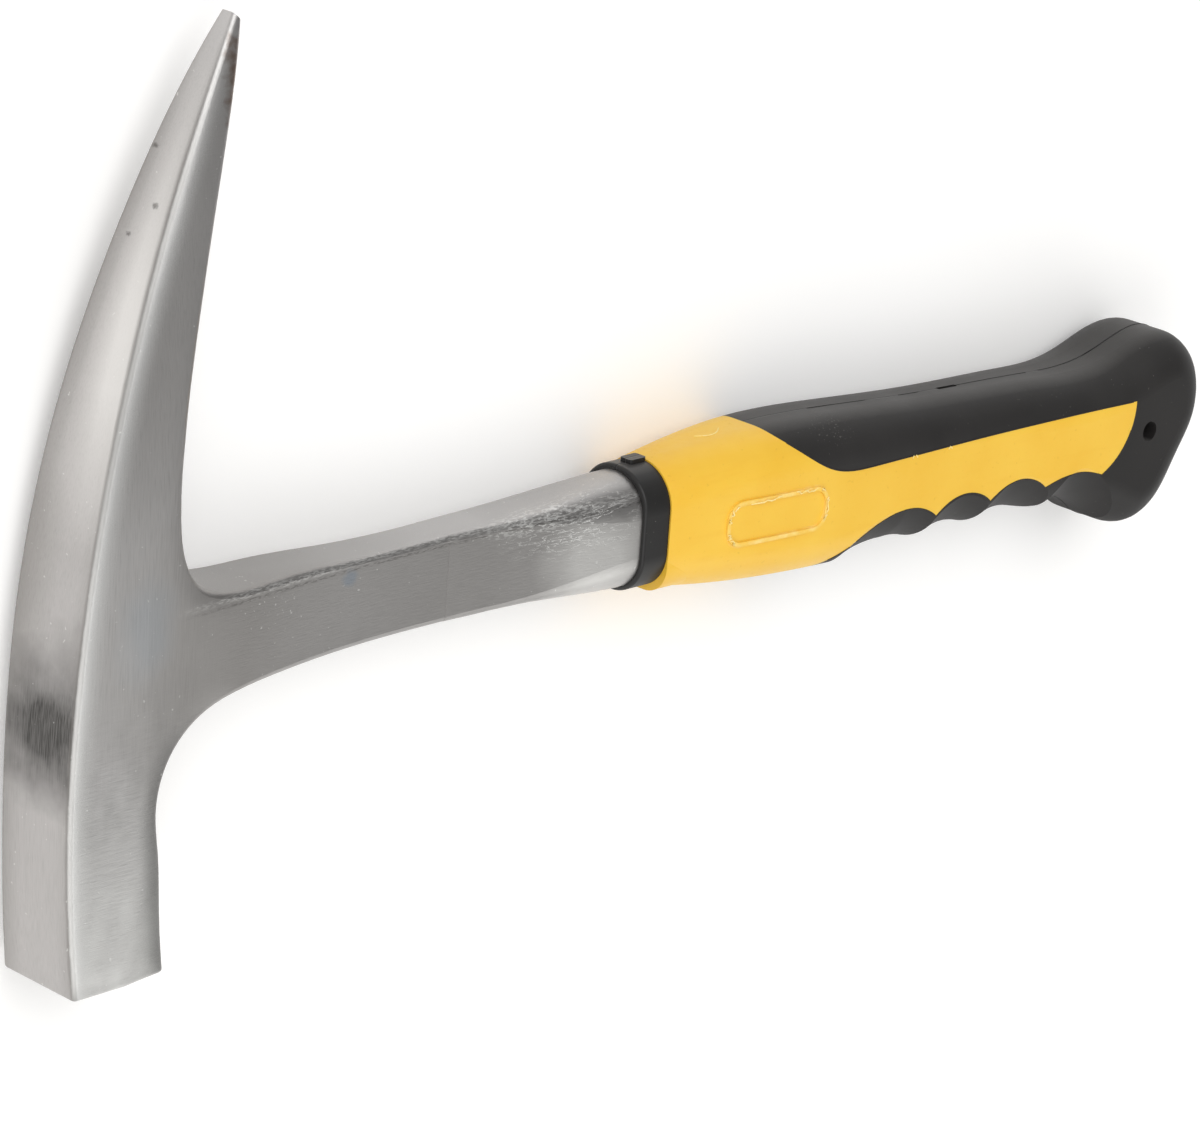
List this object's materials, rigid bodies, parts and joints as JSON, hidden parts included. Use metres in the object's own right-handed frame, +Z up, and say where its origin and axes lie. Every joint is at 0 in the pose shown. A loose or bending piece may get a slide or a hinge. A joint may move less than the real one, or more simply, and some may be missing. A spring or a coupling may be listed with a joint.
{
  "type": "rock hammer",
  "caption": "Rock hammer lying on its side: square striking face, long curved pick, forged shank and a two-colour moulded grip with finger scoops and a lanyard hole.",
  "frame": {"origin": "centre of the hammer's box in plan, on the surface it lies on", "axes": "+X along the handle to the butt, +Y to the tip of the pick, +Z up, away from the surface it lies on"},
  "size_m": [0.3224, 0.18, 0.0274],
  "materials": {
    "forged_steel": "satin ground and clear coated",
    "yellow_core": "moulded, satin",
    "black_grip": "moulded, matt"
  },
  "bodies": {
    "root": {"forged_head": "forged_steel", "front_collar": "black_grip", "grip_core": "yellow_core", "grip_cover": "black_grip"}
  },
  "joints": []
}
